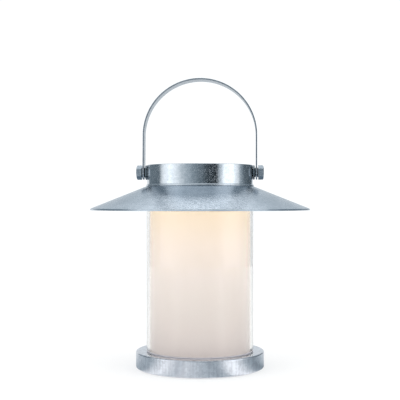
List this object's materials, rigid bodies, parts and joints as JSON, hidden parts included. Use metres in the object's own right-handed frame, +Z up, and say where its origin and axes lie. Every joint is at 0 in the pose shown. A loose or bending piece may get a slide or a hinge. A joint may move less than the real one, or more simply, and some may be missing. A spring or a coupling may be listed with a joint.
{
  "type": "solar garden light",
  "caption": "Solar lantern: glass cylinder on a round steel base under a wide conical steel roof, with a lift-out solar unit in the collar and a hinged bail handle.",
  "frame": {"origin": "on the ground under the middle of the base", "axes": "+Z up through the glass, +X through the bail bolts, -Y to the front"},
  "size_m": [0.228, 0.228, 0.301],
  "materials": {
    "galvanised_steel": "satin hot-dip galvanised sheet with a faint spangle",
    "zinc_fasteners": "bright zinc plate",
    "clear_glass": "smooth clear glass",
    "opal_plastic": "smooth opal sheet, lit warm from above",
    "black_rubber": "matt",
    "pale_silicone": "satin",
    "white_plastic": "fine moulded texture",
    "dark_plastic": "fine moulded texture",
    "nylon_washer": "smooth moulded",
    "clear_cover": "clear polished",
    "frosted_lens": "frosted",
    "solar_cell": "blue-black silicon with fine printed lines under a gloss film",
    "white_board": "solder mask",
    "green_board": "solder mask",
    "led_phosphor": "phosphor gel",
    "cell_sleeve": "shrink film",
    "nickel_contact": "nickel plate",
    "red_lead": "soft PVC",
    "black_lead": "soft PVC"
  },
  "bodies": {
    "lantern": {"bail_bolt_left": "zinc_fasteners", "bail_bolt_right": "zinc_fasteners", "base_dish": "galvanised_steel", "base_floor_plate": "galvanised_steel", "carrier_ring": "dark_plastic", "collar_ring": "galvanised_steel", "floor_screw_1": "zinc_fasteners", "floor_screw_2": "zinc_fasteners", "floor_screw_3": "zinc_fasteners", "glass_cylinder": "clear_glass", "glass_seat_cup": "white_plastic", "glass_seat_gasket": "pale_silicone", "glass_top_gasket": "pale_silicone", "inner_washer_left": "nylon_washer", "inner_washer_right": "nylon_washer", "lock_nut_left": "zinc_fasteners", "lock_nut_right": "zinc_fasteners", "opal_liner": "opal_plastic", "outer_washer_left": "nylon_washer", "outer_washer_right": "nylon_washer", "roof_cone": "galvanised_steel", "rubber_foot_1": "black_rubber", "rubber_foot_2": "black_rubber", "rubber_foot_3": "black_rubber", "spacer_nut_left": "zinc_fasteners", "spacer_nut_right": "zinc_fasteners"},
    "bail": {"bail_strap": "galvanised_steel"},
    "solar_unit": {"unit_seal_ring": "black_rubber", "unit_housing": "white_plastic", "unit_screw_1": "zinc_fasteners", "unit_screw_2": "zinc_fasteners", "unit_screw_3": "zinc_fasteners", "panel_bezel": "dark_plastic", "panel_cover": "clear_cover", "panel_board": "white_board", "solar_cell_1": "solar_cell", "solar_cell_2": "solar_cell", "solar_cell_3": "solar_cell", "solar_cell_4": "solar_cell", "battery_cell": "cell_sleeve", "battery_contact_plus": "nickel_contact", "battery_contact_spring": "nickel_contact", "battery_door": "white_plastic", "battery_door_screw": "zinc_fasteners", "circuit_board": "green_board", "board_screw_1": "zinc_fasteners", "board_screw_2": "zinc_fasteners", "led_board": "white_board", "led_chip": "led_phosphor", "led_lens": "frosted_lens", "switch_case": "dark_plastic", "panel_lead_plus": "red_lead", "panel_lead_minus": "black_lead", "led_lead_plus": "red_lead", "led_lead_minus": "black_lead"},
    "switch": {"switch_knob": "dark_plastic"}
  },
  "joints": [
    {"name": "bail_hinge", "type": "hinge", "parent": "lantern", "child": "bail", "pos_m": [0, 0, 0.2026], "axis": [1, 0, 0], "range_deg": [-99.5, 105.5]},
    {"name": "solar_unit_lift", "type": "slide", "parent": "lantern", "child": "solar_unit", "axis": [0, 0, 1], "range_m": [0, 0.04]},
    {"name": "switch_slide", "type": "slide", "parent": "solar_unit", "child": "switch", "axis": [1, 0, 0], "range_m": [0, 0.003]}
  ]
}
